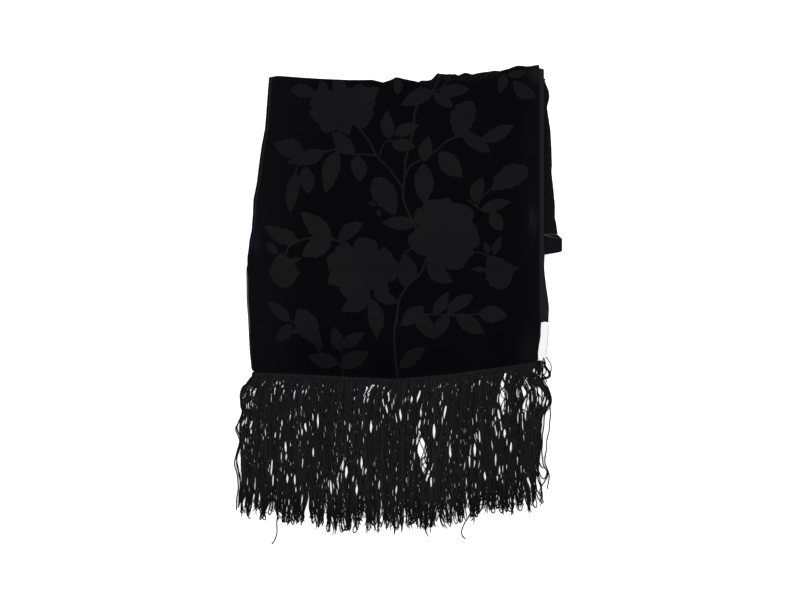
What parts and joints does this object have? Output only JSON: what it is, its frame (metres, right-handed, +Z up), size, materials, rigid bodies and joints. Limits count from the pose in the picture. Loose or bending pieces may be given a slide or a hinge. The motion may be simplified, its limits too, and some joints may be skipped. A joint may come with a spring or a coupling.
{
  "type": "folded velvet scarf",
  "caption": "Folded black velvet scarf lying flat, with tone-on-tone flower motifs, a gathered top fold, plain lining rims, a blank woven tab and a long crinkled yarn fringe.",
  "frame": {"origin": "on the surface it lies on, under the middle of the whole outline", "axes": "+Y from the fringe towards the top fold, +X to the right when looking at the front, +Z up from the surface"},
  "size_m": [0.4096, 0.6001, 0.0119],
  "materials": {
    "velvet": "black burnt-out velvet: short dense pile on a sheer ground, motifs slightly sunk and duller",
    "lining": "plain black woven lining with a faint sheen",
    "cuff_velvet": "black velvet with a slight plum cast",
    "tab": "white satin-woven tape, blank",
    "yarn": "soft crinkled black yarn"
  },
  "bodies": {
    "root": {"front_panel": "velvet", "back_stretch": "lining", "turned_cuff": "cuff_velvet", "inner_layers": "lining", "lining_rim_right": "lining", "lining_rim_left": "lining", "side_tab": "tab", "fringe": "yarn"}
  },
  "joints": []
}
